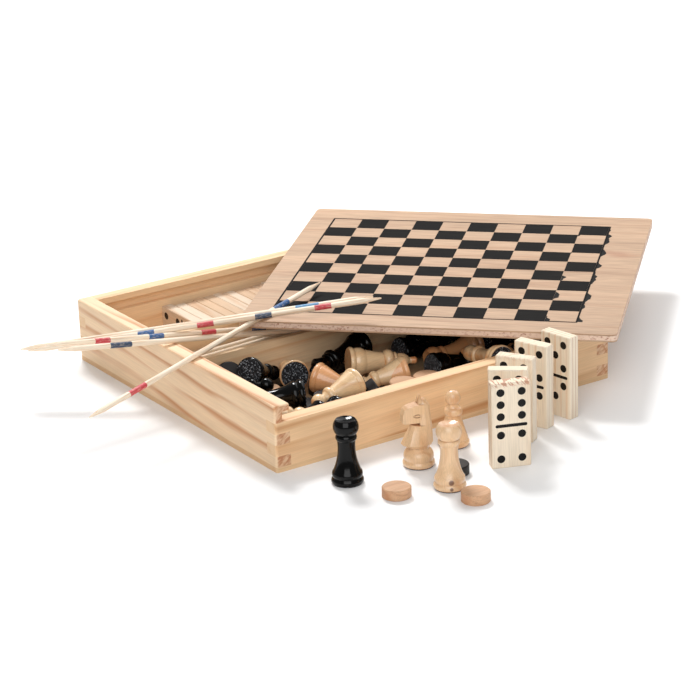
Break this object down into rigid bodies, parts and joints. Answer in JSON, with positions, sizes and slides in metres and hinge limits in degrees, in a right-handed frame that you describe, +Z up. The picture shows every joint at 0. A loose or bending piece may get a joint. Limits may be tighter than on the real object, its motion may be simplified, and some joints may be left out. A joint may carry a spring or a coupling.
{
  "type": "games compendium",
  "caption": "Shallow wooden games box with a plywood draughtboard lid laid across it, holding chess men, draughts, dominoes and pick-up sticks.",
  "frame": {"origin": "centre of the box's underside", "axes": "+X along the front wall to the right, +Y to the back wall, +Z up"},
  "size_m": [0.3814, 0.3248, 0.05],
  "materials": {
    "pine": "bare planed pine",
    "base_ply": "sanded plywood",
    "lid_core_ply": "sawn plywood edge",
    "lid_veneer": "sanded veneer",
    "board_ink": "matt printed ink",
    "natural_lacquer": "clear gloss lacquer",
    "black_lacquer": "black gloss lacquer",
    "felt": "felt",
    "natural_disc": "sanded",
    "black_disc": "matt black stain",
    "domino_wood": "sanded",
    "domino_paint": "enamel paint",
    "stick_wood": "sanded, with painted bands"
  },
  "bodies": {
    "box": {"base_panel": "base_ply", "left_wall": "pine", "right_wall": "pine", "front_wall": "pine", "back_wall": "pine", "bay_divider": "pine", "tile_divider": "pine", "dominoes_in_box": "domino_wood", "domino_marks_in_box": "domino_paint", "sticks_in_box": "stick_wood", "natural_men_in_box": "natural_lacquer", "black_men_in_box": "black_lacquer", "felt_pads_in_box": "felt", "natural_draughts_in_box": "natural_disc", "black_draughts_in_box": "black_disc"},
    "lid": {"lid_core": "lid_core_ply", "lid_veneers": "lid_veneer", "board_print": "board_ink"},
    "stick_over_lid_back": {"stick_over_lid_back": "stick_wood"},
    "stick_over_lid_front": {"stick_over_lid_front": "stick_wood"},
    "stick_on_lid": {"stick_on_lid": "stick_wood"},
    "stick_in_bay_front": {"stick_in_bay_front": "stick_wood"},
    "stick_in_bay_back": {"stick_in_bay_back": "stick_wood"},
    "black_rook": {"black_rook": "black_lacquer", "black_rook_felt": "felt"},
    "natural_rook": {"natural_rook": "natural_lacquer", "natural_rook_felt": "felt"},
    "natural_pawn": {"natural_pawn": "natural_lacquer", "natural_pawn_felt": "felt"},
    "natural_knight": {"natural_knight": "natural_lacquer", "natural_knight_felt": "felt"},
    "natural_draught_left": {"natural_draught_left": "natural_disc"},
    "natural_draught_right": {"natural_draught_right": "natural_disc"},
    "black_draught": {"black_draught": "black_disc"},
    "domino_1": {"domino_1": "domino_wood", "domino_1_marks": "domino_paint"},
    "domino_2": {"domino_2": "domino_wood", "domino_2_marks": "domino_paint"},
    "domino_3": {"domino_3": "domino_wood", "domino_3_marks": "domino_paint"},
    "domino_4": {"domino_4": "domino_wood", "domino_4_marks": "domino_paint"},
    "domino_5": {"domino_5": "domino_wood", "domino_5_marks": "domino_paint"}
  },
  "joints": [
    {"name": "lid_lift", "type": "slide", "parent": "box", "child": "lid", "axis": [0, 0, 1], "range_m": [0, 0.08]},
    {"name": "stick_over_lid_back_lift", "type": "slide", "parent": "lid", "child": "stick_over_lid_back", "axis": [0, 0, 1], "range_m": [0, 0.06]},
    {"name": "stick_over_lid_front_lift", "type": "slide", "parent": "lid", "child": "stick_over_lid_front", "axis": [0, 0, 1], "range_m": [0, 0.06]},
    {"name": "stick_on_lid_draw", "type": "slide", "parent": "lid", "child": "stick_on_lid", "axis": [-0.9382, -0.3378, -0.075], "range_m": [0, 0.045]},
    {"name": "stick_in_bay_front_draw", "type": "slide", "parent": "box", "child": "stick_in_bay_front", "axis": [-0.9887, 0.0052, 0.1495], "range_m": [0, 0.06]},
    {"name": "stick_in_bay_back_draw", "type": "slide", "parent": "box", "child": "stick_in_bay_back", "axis": [-0.9887, 0.0138, 0.1495], "range_m": [0, 0.06]},
    {"name": "black_rook_lift", "type": "slide", "parent": "box", "child": "black_rook", "axis": [0, 0, 1], "range_m": [0, 0.06]},
    {"name": "natural_rook_lift", "type": "slide", "parent": "box", "child": "natural_rook", "axis": [0, 0, 1], "range_m": [0, 0.06]},
    {"name": "natural_pawn_lift", "type": "slide", "parent": "box", "child": "natural_pawn", "axis": [0, 0, 1], "range_m": [0, 0.06]},
    {"name": "natural_knight_lift", "type": "slide", "parent": "box", "child": "natural_knight", "axis": [0, 0, 1], "range_m": [0, 0.06]},
    {"name": "natural_draught_left_lift", "type": "slide", "parent": "box", "child": "natural_draught_left", "axis": [0, 0, 1], "range_m": [0, 0.06]},
    {"name": "natural_draught_right_lift", "type": "slide", "parent": "box", "child": "natural_draught_right", "axis": [0, 0, 1], "range_m": [0, 0.06]},
    {"name": "black_draught_lift", "type": "slide", "parent": "box", "child": "black_draught", "axis": [0, 0, 1], "range_m": [0, 0.06]},
    {"name": "domino_1_lift", "type": "slide", "parent": "box", "child": "domino_1", "axis": [0, 0, 1], "range_m": [0, 0.06]},
    {"name": "domino_2_lift", "type": "slide", "parent": "box", "child": "domino_2", "axis": [0, 0, 1], "range_m": [0, 0.06]},
    {"name": "domino_3_lift", "type": "slide", "parent": "box", "child": "domino_3", "axis": [0, 0, 1], "range_m": [0, 0.06]},
    {"name": "domino_4_lift", "type": "slide", "parent": "box", "child": "domino_4", "axis": [0, 0, 1], "range_m": [0, 0.06]},
    {"name": "domino_5_lift", "type": "slide", "parent": "box", "child": "domino_5", "axis": [0, 0, 1], "range_m": [0, 0.06]}
  ]
}
